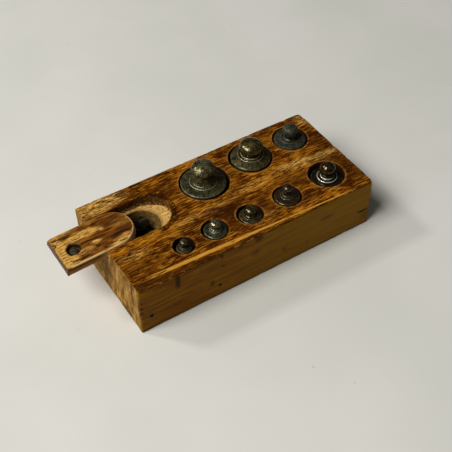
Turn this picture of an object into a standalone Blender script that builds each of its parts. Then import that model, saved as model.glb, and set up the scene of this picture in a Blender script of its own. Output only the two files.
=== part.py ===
"""Boxed set of brass knob weights: a wooden block with eight bores, a sliding dovetail lid over a pocket of leaf
weights, and the weights themselves.

Metres, +Z up. The origin is the centre of the block's bottom face, +X runs along the block away from the lid, and
+Y points to the row of large weights. Every brass piece is as tall as its nominal mass makes it.
"""

import math
from collections import namedtuple

import bmesh
import bpy
from mathutils import Matrix, Vector

MM = 0.001
GAP = 0.3 * MM  # air left between neighbouring pieces

# Facets of the round shapes.
ARC_STEPS = 20
POCKET_STEPS = 48
RECESS_STEPS = 28
PIN_STEPS = 24
SLUG_STEPS = 20
KNOB_STEPS = 9
NECK_STEPS = 4

# Block.
BLOCK_LENGTH = 110.0 * MM
BLOCK_WIDTH = 52.2 * MM
BLOCK_HEIGHT = 23.8 * MM
BLOCK_EDGE = 0.7 * MM
BORE_CHAMFER = 0.3 * MM
OVERRUN = 1.0 * MM  # how far a cutter runs past the face it opens

# Dovetail channel and the pocket under it. Half widths are across the channel, whose centreline is at CHANNEL_Y.
CHANNEL_Y = 8.0 * MM
CHANNEL_DEPTH = 4.1 * MM
CHANNEL_HALF_TOP = 9.4 * MM
CHANNEL_HALF_FLOOR = 10.5 * MM
CHANNEL_TIP_X = -22.4 * MM
POCKET_X = -35.9 * MM
POCKET_Y = 7.1 * MM
POCKET_RADIUS = 8.3 * MM
POCKET_DEPTH = 6.5 * MM

# Lid, half drawn out. It is loose in its channel, so its outer end drops by LID_TILT.
LID_LENGTH = 32.5 * MM
LID_THICKNESS = 3.3 * MM
LID_HALF_TOP = 9.0 * MM
LID_HALF_BOTTOM = 9.75 * MM
LID_END_SLANT = 0.5 * MM
LID_TIP_X = -39.1 * MM
LID_PROUD = 0.15 * MM
LID_TILT = math.radians(2.6)
LID_EDGE = 0.25 * MM

# Finger recess in the lid and the pin sunk in it.
RECESS_X = -64.7 * MM
RECESS_Y = 6.9 * MM
RECESS_RADIUS = 2.6 * MM
RECESS_DEPTH = 1.9 * MM
PIN_HEAD_RADIUS = 1.7 * MM
PIN_HEAD_HEIGHT = 0.75 * MM
PIN_SHANK_RADIUS = 0.75 * MM
PIN_SHANK_INSET = 0.1 * MM

# Weights. A head's sizes are above the disc, which is the flat top of the body that the bore takes.
BRASS_DENSITY = 8500.0
FILLING_DENSITY = 7200.0
DISC_CHAMFER = 0.35 * MM
FOOT_CHAMFER = 0.3 * MM
STEM_RADIUS = 1.7 * MM
STEM_LENGTH = 2.6 * MM
SHOULDER_GAP = 0.15 * MM
SLUG_HEIGHT = 1.2 * MM
FOOT_SHARE = 0.88  # where the neck's curve starts, as a share of the boss or collar under it

Weight = namedtuple(
    "Weight",
    "name grams bore_x bore_y bore_radius shift_x shift_y level disc_radius crown "
    "knob_radius knob_half_height knob_z neck_radius boss_radius boss_z collar_radius collar_z steps two_piece",
)


def weight_mm(name, grams, bore, shift, level, disc, knob, neck_radius, boss, collar, steps, two_piece=False):
    """A Weight from sizes in millimetres. bore is x, y, radius; disc is radius and how far it rises to the boss;
    knob is radius, half height, height of its centre; boss and collar are radius and height of the top. Heights
    are above the disc's edge, and a collar of radius 0 is left out."""
    sizes = (*bore, *shift, level, *disc, *knob, neck_radius, *boss, *collar)
    return Weight(name, grams, *(size * MM for size in sizes), steps, two_piece)


WEIGHTS = (
    weight_mm("weight_50g", 50, (-3.65, 10.95, 10.45), (-0.35, 0.15), 0.3, (9.5, 0.2),
              (5.05, 3.25, 7.0), 3.5, (5.8, 0.6), (0.0, 0.0), 40, True),
    weight_mm("weight_20g", 20, (20.45, 13.25, 9.3), (0.14, -0.06), 0.6, (8.55, 1.2),
              (5.1, 3.2, 5.1), 3.1, (5.5, 1.55), (4.3, 2.05), 40, True),
    weight_mm("weight_10g_back", 10, (41.45, 14.1, 7.6), (0.1, 0.05), 0.2, (7.0, 0.3),
              (3.55, 3.1, 3.95), 2.4, (4.3, 0.6), (0.0, 0.0), 32),
    weight_mm("weight_10g_front", 10, (41.12, -12.28, 7.6), (0.35, -0.2), -1.9, (6.8, 0.0),
              (3.5, 3.35, 4.3), 2.1, (4.25, 0.9), (2.85, 1.4), 32, True),
    weight_mm("weight_5g", 5, (20.1, -14.0, 5.95), (0.03, 0.01), -0.05, (5.35, 0.2),
              (2.15, 1.7, 4.15), 1.3, (2.75, 0.6), (1.95, 1.1), 24),
    weight_mm("weight_2g_right", 2, (1.9, -14.45, 5.45), (0.25, -0.15), -0.6, (4.8, 0.3),
              (2.5, 1.4, 3.1), 1.6, (3.2, 0.55), (0.0, 0.0), 24),
    weight_mm("weight_2g_left", 2, (-14.25, -13.95, 5.4), (0.3, -0.05), -0.2, (4.75, 0.2),
              (2.3, 1.5, 3.25), 1.2, (2.4, 0.5), (1.8, 0.9), 24),
    weight_mm("weight_1g", 1, (-28.6, -14.7, 4.4), (0.05, 0.05), -1.1, (3.15, 0.1),
              (1.75, 1.25, 2.7), 1.0, (1.9, 0.4), (0.0, 0.0), 20),
)

# Leaf weights: square sheets with one corner turned up. Each lies on the one under it, or on the pocket's floor.
# Turn and tilt are in degrees, and flap is how much of each side folds up.
Leaf = namedtuple("Leaf", "name milligrams density side x y turn tilt flap under")
ALUMINIUM_DENSITY = 2700.0
FLAP_ANGLE = math.radians(48)


def leaf_mm(milligrams, density, side, place, turn, tilt, flap, under=None):
    """A Leaf from sizes in millimetres and the mass of the leaf that it lies on."""
    below = f"leaf_weight_{under}mg" if under else None
    sizes = (size * MM for size in (side, *place))
    return Leaf(f"leaf_weight_{milligrams}mg", milligrams, density, *sizes, turn, tilt, flap * MM, below)


LEAVES = (
    leaf_mm(500, BRASS_DENSITY, 7.2, (-33.4, 6.4), 14, 0, 1.9),
    leaf_mm(200, BRASS_DENSITY, 5.6, (-34.2, 10.4), -22, 3, 1.6, under=500),
    leaf_mm(100, BRASS_DENSITY, 4.5, (-32.5, 3.9), -15, -3, 1.6, under=500),
    leaf_mm(50, ALUMINIUM_DENSITY, 5.0, (-33.6, 10.2), -60, 4, 1.4, under=200),
)

SET_COLLECTION = "boxed_weight_set"
CUTTER_COLLECTION = "cutters"


def clear_scene():
    for obj in list(bpy.data.objects):
        bpy.data.objects.remove(obj, do_unlink=True)


def collection(name):
    made = bpy.data.collections.new(name)
    bpy.context.scene.collection.children.link(made)
    return made


def principled(name, colour, roughness, metallic):
    """The material of this name, made on its first use."""
    made = bpy.data.materials.get(name)
    if made:
        return made
    made = bpy.data.materials.new(name)
    made.use_nodes = True
    shader = made.node_tree.nodes["Principled BSDF"]
    shader.inputs["Base Color"].default_value = (*colour, 1.0)
    shader.inputs["Roughness"].default_value = roughness
    shader.inputs["Metallic"].default_value = metallic
    return made


def varnished_wood():
    return principled("varnished_wood", (0.42, 0.20, 0.06), 0.38, 0.0)


def lid_wood():
    return principled("lid_wood", (0.55, 0.28, 0.08), 0.42, 0.0)


def aged_brass():
    return principled("aged_brass", (0.26, 0.22, 0.13), 0.42, 0.9)


def grey_brass():
    return principled("grey_brass", (0.22, 0.22, 0.19), 0.5, 0.85)


def adjusting_metal():
    return principled("adjusting_metal", (0.18, 0.18, 0.19), 0.6, 0.8)


def dull_aluminium():
    return principled("dull_aluminium", (0.62, 0.63, 0.64), 0.4, 0.9)


def mesh_object(name, mesh, look=None, parent=None, location=(0, 0, 0)):
    """An object in the set's collection, or a cutter when it has no look."""
    obj = bpy.data.objects.new(name, mesh)
    obj.location = location
    obj.parent = parent
    if look:
        mesh.materials.append(look)
        bpy.data.collections[SET_COLLECTION].objects.link(obj)
    else:
        obj.hide_render = True
        obj.display_type = "WIRE"
        bpy.data.collections[CUTTER_COLLECTION].objects.link(obj)
    return obj


def axis_empty(name, location, rotation=(0, 0, 0)):
    empty = bpy.data.objects.new(name, None)
    empty.location = location
    empty.rotation_euler = rotation
    bpy.data.collections[SET_COLLECTION].objects.link(empty)
    return empty


def cut(obj, cutter):
    boolean = obj.modifiers.new("cut_" + cutter.name, "BOOLEAN")
    boolean.operation = "DIFFERENCE"
    boolean.solver = "EXACT"
    boolean.object = cutter


def bevel(obj, width, segments):
    rounding = obj.modifiers.new("edges", "BEVEL")
    rounding.width = width
    rounding.segments = segments
    rounding.limit_method = "ANGLE"
    rounding.angle_limit = math.radians(40)


def turned(name, profile, steps, look=None, parent=None, location=(0, 0, 0)):
    """A turned solid. Its profile of (radius, z) runs from the axis down the outer side and back to the axis."""
    mesh = bpy.data.meshes.new(name)
    points = [(radius, 0.0, z) for radius, z in profile]
    edges = [(i, i + 1) for i in range(len(points) - 1)]
    mesh.from_pydata(points, edges, [])
    obj = mesh_object(name, mesh, look, parent, location)
    screw = obj.modifiers.new("turn", "SCREW")
    screw.axis = "Z"
    screw.steps = steps
    screw.render_steps = steps
    screw.use_merge_vertices = True
    screw.merge_threshold = 0.000001
    screw.use_smooth_shade = True
    return obj


def revolved_volume(profile):
    """Volume between the profile and the axis, as a stack of cone frustums."""
    pairs = zip(profile, profile[1:])
    return sum(math.pi / 3 * (z0 - z1) * (r0 * r0 + r0 * r1 + r1 * r1) for (r0, z0), (r1, z1) in pairs)


def tongue(name, half_bottom, half_top, z_bottom, z_top, x_outer, arc_x, slant=0.0, look=None, parent=None):
    """A flat tongue with a square outer end, which leans in by slant, and a round inner one. Its sides and its
    round end flare downwards."""
    angles = [math.pi * (i / ARC_STEPS - 0.5) for i in range(ARC_STEPS + 1)]
    outline = [(x_outer, -half_bottom)]
    outline += [(arc_x + half_bottom * math.cos(a), half_bottom * math.sin(a)) for a in angles]
    outline += [(x_outer, half_bottom)]
    body = bmesh.new()
    floor = body.faces.new([body.verts.new((x, y, z_bottom)) for x, y in outline])
    grown = bmesh.ops.extrude_face_region(body, geom=[floor])["geom"]
    shrink = half_top / half_bottom
    for vertex in (item for item in grown if isinstance(item, bmesh.types.BMVert)):
        x, y, _ = vertex.co
        vertex.co = (arc_x + (x - arc_x) * shrink if x > arc_x else x, y * shrink, z_top)
        if x < x_outer + GAP:
            vertex.co.x += slant
    bmesh.ops.recalc_face_normals(body, faces=body.faces)
    mesh = bpy.data.meshes.new(name)
    body.to_mesh(mesh)
    body.free()
    return mesh_object(name, mesh, look, parent)


def block_mesh():
    body = bmesh.new()
    size = Vector((BLOCK_LENGTH, BLOCK_WIDTH, BLOCK_HEIGHT))
    lift = Matrix.Translation((0, 0, BLOCK_HEIGHT / 2))
    bmesh.ops.create_cube(body, size=1, matrix=lift @ Matrix.Diagonal((*size, 1)))
    mesh = bpy.data.meshes.new("wood_block")
    body.to_mesh(mesh)
    body.free()
    return mesh


def bore_cutter(weight, depth):
    """A blind bore with a small chamfer round its mouth."""
    radius = weight.bore_radius
    above = BLOCK_HEIGHT + OVERRUN
    mouth = radius + BORE_CHAMFER
    profile = [
        (0, above),
        (mouth, above),
        (mouth, BLOCK_HEIGHT),
        (radius, BLOCK_HEIGHT - BORE_CHAMFER),
        (radius, BLOCK_HEIGHT - depth),
        (0, BLOCK_HEIGHT - depth),
    ]
    return turned("bore_" + weight.name, profile, weight.steps, location=(weight.bore_x, weight.bore_y, 0))


def channel_cutter():
    """The dovetail channel, open at the block's lid end. Its sides keep their slope a little above the top."""
    slope = (CHANNEL_HALF_FLOOR - CHANNEL_HALF_TOP) / CHANNEL_DEPTH
    half_above = CHANNEL_HALF_TOP - slope * OVERRUN
    arc_x = CHANNEL_TIP_X - CHANNEL_HALF_TOP
    outer = -BLOCK_LENGTH / 2 - OVERRUN
    floor = BLOCK_HEIGHT - CHANNEL_DEPTH
    cutter = tongue("channel", CHANNEL_HALF_FLOOR, half_above, floor, BLOCK_HEIGHT + OVERRUN, outer, arc_x)
    cutter.location.y = CHANNEL_Y
    return cutter


def pocket_cutter():
    above = BLOCK_HEIGHT - CHANNEL_DEPTH + OVERRUN
    floor = BLOCK_HEIGHT - CHANNEL_DEPTH - POCKET_DEPTH
    profile = [(0, above), (POCKET_RADIUS, above), (POCKET_RADIUS, floor), (0, floor)]
    return turned("pocket", profile, POCKET_STEPS, location=(POCKET_X, POCKET_Y, 0))


def build_block(depths):
    block = mesh_object("wood_block", block_mesh(), varnished_wood())
    bevel(block, BLOCK_EDGE, 2)
    for weight in WEIGHTS:
        cut(block, bore_cutter(weight, depths[weight.name]))
    cut(block, channel_cutter())
    cut(block, pocket_cutter())


def build_lid():
    """The lid and its pin hang on one empty, at the edge of the block where the drawn-out lid bears."""
    bottom = BLOCK_HEIGHT + LID_PROUD - LID_THICKNESS
    pivot = Vector((LID_TIP_X - LID_LENGTH / 2, CHANNEL_Y, bottom))
    slide = axis_empty("lid_slide_axis", pivot, (0, -LID_TILT, 0))
    arc_x = LID_TIP_X - LID_HALF_TOP - pivot.x
    lid = tongue("sliding_lid", LID_HALF_BOTTOM, LID_HALF_TOP, 0, LID_THICKNESS,
                 -LID_LENGTH / 2, arc_x, LID_END_SLANT, lid_wood(), slide)
    bevel(lid, LID_EDGE, 1)
    recess_at = (RECESS_X - pivot.x, RECESS_Y - pivot.y, 0)
    seat = LID_THICKNESS - RECESS_DEPTH
    hole = PIN_SHANK_RADIUS + GAP
    above = LID_THICKNESS + OVERRUN
    below = -OVERRUN
    profile = [(0, above), (RECESS_RADIUS, above), (RECESS_RADIUS, seat), (hole, seat), (hole, below), (0, below)]
    cut(lid, turned("lid_recess", profile, RECESS_STEPS, parent=slide, location=recess_at))
    build_pin(slide, recess_at, seat + GAP)


def build_pin(parent, location, under):
    """The pin. Its domed head starts at the height under, and its shank ends just inside the lid's bottom."""
    edge = under + PIN_HEAD_HEIGHT / 2
    tilts = [math.radians(degrees) for degrees in (0, 25, 50, 70, 90)]
    dome = [(PIN_HEAD_RADIUS * math.sin(a), edge + PIN_HEAD_HEIGHT / 2 * math.cos(a)) for a in tilts]
    end = PIN_SHANK_INSET
    profile = [*dome, (PIN_HEAD_RADIUS, under), (PIN_SHANK_RADIUS, under), (PIN_SHANK_RADIUS, end), (0, end)]
    turned("lid_pin", profile, PIN_STEPS, aged_brass(), parent, location)


def head_profile(weight):
    """Knob, neck, collar and boss of a weight, from the top down to where the boss meets the disc."""
    under = -math.acos(weight.neck_radius / weight.knob_radius)
    turns = [math.pi / 2 + (under - math.pi / 2) * i / KNOB_STEPS for i in range(KNOB_STEPS + 1)]
    radius, half_height = weight.knob_radius, weight.knob_half_height
    knob = [(radius * math.cos(a), weight.knob_z + half_height * math.sin(a)) for a in turns]
    boss = [(weight.boss_radius, weight.boss_z), (weight.boss_radius, weight.crown)]
    if weight.collar_radius > 0:
        boss = [(weight.collar_radius, weight.collar_z), (weight.collar_radius, weight.boss_z), *boss]
    foot_radius, foot_z = boss[0]
    neck_top = knob[-1][1]
    shoulder = FOOT_SHARE * foot_radius
    reach = shoulder - weight.neck_radius
    neck = []
    for i in range(1, NECK_STEPS + 1):
        a = math.pi / 2 * i / NECK_STEPS
        neck.append((shoulder - reach * math.cos(a), foot_z + (neck_top - foot_z) * (1 - math.sin(a))))
    return [(0.0, knob[0][1]), *knob[1:], *neck, *boss]


def disc_profile(weight, height):
    """The body from the disc's edge down its outer side to the axis."""
    radius = weight.disc_radius
    return [
        (radius - DISC_CHAMFER, 0.0),
        (radius, -DISC_CHAMFER),
        (radius, FOOT_CHAMFER - height),
        (radius - FOOT_CHAMFER, -height),
        (0.0, -height),
    ]


def facet_share(steps):
    """Volume of a solid turned in this many steps, as a share of the round one."""
    return steps / math.tau * math.sin(math.tau / steps)


def cavity_floor(weight):
    """Height of the floor of the cavity that holds the stem and the adjusting metal."""
    return weight.crown - STEM_LENGTH - SLUG_HEIGHT - 2 * GAP


def cavity_space(weight):
    """Volume that the cavity leaves empty, counted as brass."""
    cavity = math.pi * (STEM_RADIUS + GAP) ** 2 * (weight.crown - cavity_floor(weight))
    stem = math.pi * STEM_RADIUS ** 2 * STEM_LENGTH
    slug = math.pi * STEM_RADIUS ** 2 * SLUG_HEIGHT
    return cavity - stem - slug * FILLING_DENSITY / BRASS_DENSITY


def body_height(weight):
    """Height of the body below the disc's edge that brings the weight to its nominal mass."""
    needed = weight.grams / 1000 / BRASS_DENSITY / facet_share(weight.steps)
    if weight.two_piece:
        needed += cavity_space(weight)
    trial = 2 * (DISC_CHAMFER + FOOT_CHAMFER)
    drawn = revolved_volume([*head_profile(weight), *disc_profile(weight, trial)])
    return trial + (needed - drawn) / (math.pi * weight.disc_radius ** 2)


def weight_axis(weight):
    location = (weight.bore_x + weight.shift_x, weight.bore_y + weight.shift_y, BLOCK_HEIGHT + weight.level)
    return axis_empty(weight.name + "_axis", location)


def build_solid_weight(weight, look):
    """A weight turned in one piece. Its profile runs over head, disc and foot."""
    profile = [*head_profile(weight), *disc_profile(weight, body_height(weight))]
    turned(weight.name, profile, weight.steps, look, weight_axis(weight))


def build_two_piece_weight(weight, look):
    """A weight whose knob screws into its body over a cavity with adjusting metal."""
    axis = weight_axis(weight)
    bore = STEM_RADIUS + GAP
    floor = cavity_floor(weight)
    seat = [(0.0, floor), (bore, floor), (bore, weight.crown)]
    if weight.crown > 0:
        seat.append((weight.boss_radius, weight.crown))
    body = [*seat, *disc_profile(weight, body_height(weight))]
    turned(weight.name + "_body", body, weight.steps, look, axis)
    stem_end = weight.crown - STEM_LENGTH
    stem = [(STEM_RADIUS, weight.crown), (STEM_RADIUS, stem_end), (0.0, stem_end)]
    knob = [(radius, z + SHOULDER_GAP) for radius, z in [*head_profile(weight), *stem]]
    turned(weight.name + "_knob", knob, weight.steps, look, axis)
    slug_top = floor + GAP + SLUG_HEIGHT
    slug = [(0.0, slug_top), (STEM_RADIUS, slug_top), (STEM_RADIUS, floor + GAP), (0.0, floor + GAP)]
    turned(weight.name + "_adjusting_slug", slug, SLUG_STEPS, adjusting_metal(), axis)


def build_weights():
    for weight in WEIGHTS:
        look = grey_brass() if weight.name == "weight_10g_back" else aged_brass()
        if weight.two_piece:
            build_two_piece_weight(weight, look)
        else:
            build_solid_weight(weight, look)


def leaf_thickness(leaf):
    return leaf.milligrams * 1e-6 / leaf.density / leaf.side ** 2


def leaf_mesh(leaf):
    """A square sheet whose corner beyond a diagonal fold is turned up."""
    sheet = bmesh.new()
    bmesh.ops.create_grid(sheet, x_segments=1, y_segments=1, size=leaf.side / 2)
    fold_at = Vector((leaf.side / 2 - leaf.flap / 2, leaf.side / 2 - leaf.flap / 2, 0))
    across = Vector((1, 1, 0)).normalized()
    geometry = sheet.verts[:] + sheet.edges[:] + sheet.faces[:]
    bmesh.ops.bisect_plane(sheet, geom=geometry, plane_co=fold_at, plane_no=across)
    corner = [v for v in sheet.verts if (v.co - fold_at).dot(across) > 0.1 * leaf.flap]
    fold = Matrix.Rotation(FLAP_ANGLE, 3, Vector((1, -1, 0)))
    bmesh.ops.rotate(sheet, cent=fold_at, matrix=fold, verts=corner)
    mesh = bpy.data.meshes.new(leaf.name)
    sheet.to_mesh(mesh)
    sheet.free()
    return mesh


def build_leaves():
    """The leaves lie in a loose pile: each rests over the one under it, with room for its tilt."""
    tops = {None: BLOCK_HEIGHT - CHANNEL_DEPTH - POCKET_DEPTH}
    for leaf in LEAVES:
        thickness = leaf_thickness(leaf)
        tilt = math.radians(leaf.tilt)
        dip = leaf.side / 2 * abs(math.sin(tilt)) * math.sqrt(2)
        z = tops[leaf.under] + GAP + dip
        look = dull_aluminium() if leaf.density == ALUMINIUM_DENSITY else aged_brass()
        obj = mesh_object(leaf.name, leaf_mesh(leaf), look, location=(leaf.x, leaf.y, z))
        obj.rotation_euler = (tilt, 0, math.radians(leaf.turn))
        shell = obj.modifiers.new("sheet", "SOLIDIFY")
        shell.thickness = thickness
        shell.offset = 1
        shell.use_even_offset = True
        tops[leaf.name] = z + thickness + dip


def bore_depths():
    """Each bore is as deep as its weight's body needs, so that the disc stands at its level."""
    return {w.name: body_height(w) - w.level + GAP for w in WEIGHTS}


def main():
    clear_scene()
    collection(SET_COLLECTION)
    collection(CUTTER_COLLECTION).hide_render = True
    build_block(bore_depths())
    build_lid()
    build_weights()
    build_leaves()


main()
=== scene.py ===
"""Looks of the boxed set of brass knob weights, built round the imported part.

Meshes and materials are worked out in millimetres; a mesh is turned into metres when its object is made.
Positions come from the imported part's own boxes, and the radii and heights here are the part's design sizes.
"""

import itertools
import math
from collections import namedtuple

import bpy
import numpy as np
from mathutils import Matrix, Vector


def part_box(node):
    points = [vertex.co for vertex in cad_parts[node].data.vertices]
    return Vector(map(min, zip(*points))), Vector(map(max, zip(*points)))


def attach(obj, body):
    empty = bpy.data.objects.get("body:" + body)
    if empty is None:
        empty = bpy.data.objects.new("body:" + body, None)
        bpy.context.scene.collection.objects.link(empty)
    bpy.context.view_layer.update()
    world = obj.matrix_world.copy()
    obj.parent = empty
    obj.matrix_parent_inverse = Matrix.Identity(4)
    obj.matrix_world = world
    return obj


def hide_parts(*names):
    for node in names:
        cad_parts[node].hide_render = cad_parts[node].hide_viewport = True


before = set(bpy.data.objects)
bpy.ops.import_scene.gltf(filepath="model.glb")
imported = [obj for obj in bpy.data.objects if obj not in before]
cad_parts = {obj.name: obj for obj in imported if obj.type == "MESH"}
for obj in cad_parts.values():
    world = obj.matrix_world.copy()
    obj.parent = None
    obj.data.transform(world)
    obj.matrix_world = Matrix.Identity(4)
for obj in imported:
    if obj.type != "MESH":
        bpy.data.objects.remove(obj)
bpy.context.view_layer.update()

MM = 0.001
SHARP_ANGLE = math.radians(38)
RNG = np.random.default_rng(11)


def box_mm(node):
    """Lowest and highest corner of a CAD node, in millimetres."""
    low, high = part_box(node)
    return np.array(low) / MM, np.array(high) / MM


BLOCK_LOW, BLOCK_HIGH = box_mm("wood_block")
TOP = BLOCK_HIGH[2]
FRONT = BLOCK_LOW[1]
LEFT = BLOCK_LOW[0]
RIGHT = BLOCK_HIGH[0]

# Dovetail channel and pocket of the block.
CHANNEL_Y, CHANNEL_DEPTH, CHANNEL_HALF_TOP, CHANNEL_HALF_FLOOR, CHANNEL_ARC_X = 8.0, 4.1, 9.4, 10.5, -31.8
POCKET_X, POCKET_Y, POCKET_RADIUS, POCKET_DEPTH = -35.9, 7.1, 8.3, 6.5

# Lid, in its own axes: along it from its middle, across it, and up from its underside.
LID_LENGTH, LID_THICKNESS, LID_HALF_TOP, LID_HALF_BOTTOM, LID_SLANT = 32.5, 3.3, 9.0, 9.75, 0.5
LID_ARC_X, LID_TILT = 7.25, math.radians(2.6)
LID_PIVOT = (-55.35, 8.0, 20.65)
RECESS_X, RECESS_Y, RECESS_RADIUS, RECESS_DEPTH, SHANK_HOLE = -9.35, -1.1, 2.6, 1.9, 1.05
PIN_HEAD_RADIUS, PIN_HEAD_HEIGHT, PIN_SHANK_RADIUS, PIN_UNDER, PIN_END = 1.7, 0.75, 0.75, 1.7, 0.1

# Weights. Heights are above the disc's edge.
Weight = namedtuple(
    "Weight",
    "name bore disc_radius crown knob_radius knob_half knob_z neck boss_radius boss_z collar_radius collar_z"
    " two_piece",
)
WEIGHTS = (
    Weight("weight_50g", (-3.65, 10.95, 10.45), 9.5, 0.2, 5.05, 3.25, 7.0, 3.5, 5.8, 0.6, 0, 0, True),
    Weight("weight_20g", (20.45, 13.25, 9.3), 8.55, 1.2, 5.1, 3.2, 5.1, 3.1, 5.5, 1.55, 4.3, 2.05, True),
    Weight("weight_10g_back", (41.45, 14.1, 7.6), 7.0, 0.3, 3.55, 3.1, 3.95, 2.4, 4.3, 0.6, 0, 0, False),
    Weight(
        "weight_10g_front", (41.12, -12.28, 7.6), 6.8, 0.0, 3.5, 3.35, 4.3, 2.1, 4.25, 0.9, 2.85, 1.4, True),
    Weight("weight_5g", (20.1, -14.0, 5.95), 5.35, 0.2, 2.15, 1.7, 4.15, 1.3, 2.75, 0.6, 1.95, 1.1, False),
    Weight("weight_2g_right", (1.9, -14.45, 5.45), 4.8, 0.3, 2.5, 1.4, 3.1, 1.6, 3.2, 0.55, 0, 0, False),
    Weight(
        "weight_2g_left", (-14.25, -13.95, 5.4), 4.75, 0.2, 2.3, 1.5, 3.25, 1.2, 2.4, 0.5, 1.8, 0.9, False),
    Weight("weight_1g", (-28.6, -14.7, 4.4), 3.15, 0.1, 1.75, 1.25, 2.7, 1.0, 1.9, 0.4, 0, 0, False),
)
SHOULDER_GAP = 0.15
DISC_CHAMFER = 0.35
FOOT_CHAMFER = 0.3
FOOT_SHARE = 0.88
STEM_RADIUS = 1.7
STEM_LENGTH = 2.6
CAVITY_RADIUS = 2.0
CAVITY_DEPTH = 4.4

# Fineness of the meshes: steps round a turned piece, steps along a tongue and points round its end, and the
# sizes of the block's grid and the lid's voxels.
LARGE_WEIGHT_STEPS, SMALL_WEIGHT_STEPS, CUTTER_STEPS, PIN_STEPS = 128, 96, 96, 48
STRAIGHT_STEPS, ARC_POINTS = 44, 64
GRID_STEP, LID_VOXEL = 0.6, 0.26

# Rounding of the block's edges, on average and how far it goes up and down, and knocks along them.
EDGE_RADIUS, EDGE_RADIUS_CHANGE, EDGE_KNOCKS = 0.75, 0.3, 90

# How deeply the turned pieces are pitted.
DEEP_PITS, SHALLOW_PITS = 0.12, 0.04

# Shine of the looks.
BRASS_SPECULAR, BRASS_COAT_ROUGHNESS, BRASS_LEAST_ROUGHNESS = 0.15, 0.16, 0.07
VARNISH_SPECULAR, LID_SPECULAR, CHANNEL_SPECULAR = 0.03, 0.14, 0.1

# Stage, in metres but for the floor.
FLOOR_HALF = 900
WORLD_COLOUR, WORLD_STRENGTH = (1.0, 0.985, 0.95, 1), 0.055
LIGHT_COLOUR, LIGHT_TARGET = (1.0, 0.985, 0.955), Vector((0, 0, 0.01))
CAMERA_AZIMUTH, CAMERA_ELEVATION, CAMERA_ROLL = (math.radians(a) for a in (-32.457887, 46.3845, -0.316366))
# In lengths of the block: how far off the camera is, and how far it is shifted to its left and up.
CAMERA_AWAY, CAMERA_LEFT, CAMERA_UP = 3.408137, 0.0017116, 0.0333121
CAMERA_LENS, CAMERA_SENSOR = 70.63, 36


# ---------------------------------------------------------------- meshes


def lattice_noise(points, seed):
    """Smooth noise from -1 to 1 at points, with features about one unit wide."""
    cell = np.floor(points).astype(np.int64)
    part = points - cell
    part = part * part * (3 - 2 * part)
    total = np.zeros(len(points))
    for corner in itertools.product((0, 1), repeat=3):
        x, y, z = (cell + corner).T
        mixed = (x * 73856093 ^ y * 19349663 ^ z * 83492791 ^ (seed + 1) * 2654435761) & 0xFFFFFFFF
        mixed = ((mixed ^ (mixed >> 13)) * 1274126177) & 0xFFFFFFFF
        value = ((mixed ^ (mixed >> 16)) & 0xFFFF) / 32767.5 - 1
        share = np.prod(np.where(corner, part, 1 - part), axis=1)
        total += value * share
    return total


def fractal(points, seed):
    """Noise with finer and weaker octaves added, about -1 to 1."""
    total, size = np.zeros(len(points)), 1.0
    for octave in range(3):
        total += size * lattice_noise(points / size * 0.999, seed + 7 * octave)
        size /= 2
    return total / 1.6


def make_object(name, points, faces, materials, attributes=None, location=(0, 0, 0), tilt=0.0):
    """A mesh object from points in millimetres. Location is in millimetres too."""
    mesh = bpy.data.meshes.new(name)
    mesh.from_pydata(np.asarray(points) * MM, [], faces)
    mesh.validate()
    for material in materials:
        mesh.materials.append(material)
    for key, values in (attributes or {}).items():
        mesh.attributes.new(key, "FLOAT", "POINT").data.foreach_set("value", np.asarray(values, np.float32))
    return place(name, mesh, location, tilt)


def place(name, mesh, location=(0, 0, 0), tilt=0.0):
    mesh.shade_smooth()
    mesh.set_sharp_from_angle(angle=SHARP_ANGLE)
    obj = bpy.data.objects.new(name, mesh)
    obj.location = Vector(location) * MM
    obj.rotation_euler = (0, -tilt, 0)
    bpy.context.scene.collection.objects.link(obj)
    return obj


def dress(mesh, *looks):
    """Gives the mesh these materials and no others."""
    mesh.materials.clear()
    for look in looks:
        mesh.materials.append(look)


def points_of(mesh):
    flat = np.empty(len(mesh.vertices) * 3)
    mesh.vertices.foreach_get("co", flat)
    return flat.reshape(-1, 3) / MM


def move_points(mesh, points):
    mesh.vertices.foreach_set("co", (points * MM).ravel())
    mesh.update()


def normals_of(mesh):
    flat = np.empty(len(mesh.vertices) * 3)
    mesh.vertex_normals.foreach_get("vector", flat)
    return flat.reshape(-1, 3)


def evaluated(obj):
    """The object's mesh with its modifiers applied. The object itself goes."""
    graph = bpy.context.evaluated_depsgraph_get()
    mesh = bpy.data.meshes.new_from_object(obj.evaluated_get(graph))
    bpy.data.objects.remove(obj, do_unlink=True)
    return mesh


def carve(obj, cutter):
    """Cuts the closed cutter out of the closed obj, and returns the new mesh."""
    boolean = obj.modifiers.new("carve", "BOOLEAN")
    boolean.operation = "DIFFERENCE"
    boolean.solver = "MANIFOLD"
    boolean.object = cutter
    mesh = evaluated(obj)
    bpy.data.objects.remove(cutter, do_unlink=True)
    return mesh


def lathe(profile, steps):
    """Points and faces of a closed solid turned from (radius, z) points that start and end on the axis."""
    rings = profile[1:-1]
    angles = np.linspace(0, math.tau, steps, endpoint=False)
    points = [(0.0, 0.0, profile[0][1])]
    for radius, z in rings:
        points += [(radius * math.cos(a), radius * math.sin(a), z) for a in angles]
    points.append((0.0, 0.0, profile[-1][1]))
    last = len(points) - 1
    faces = []
    for j in range(steps):
        k = (j + 1) % steps
        faces.append((0, 1 + j, 1 + k))
        for i in range(len(rings) - 1):
            a, b = 1 + i * steps, 1 + (i + 1) * steps
            faces.append((a + j, b + j, b + k, a + k))
        end = 1 + (len(rings) - 1) * steps
        faces.append((last, end + k, end + j))
    return np.array(points), faces


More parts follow.
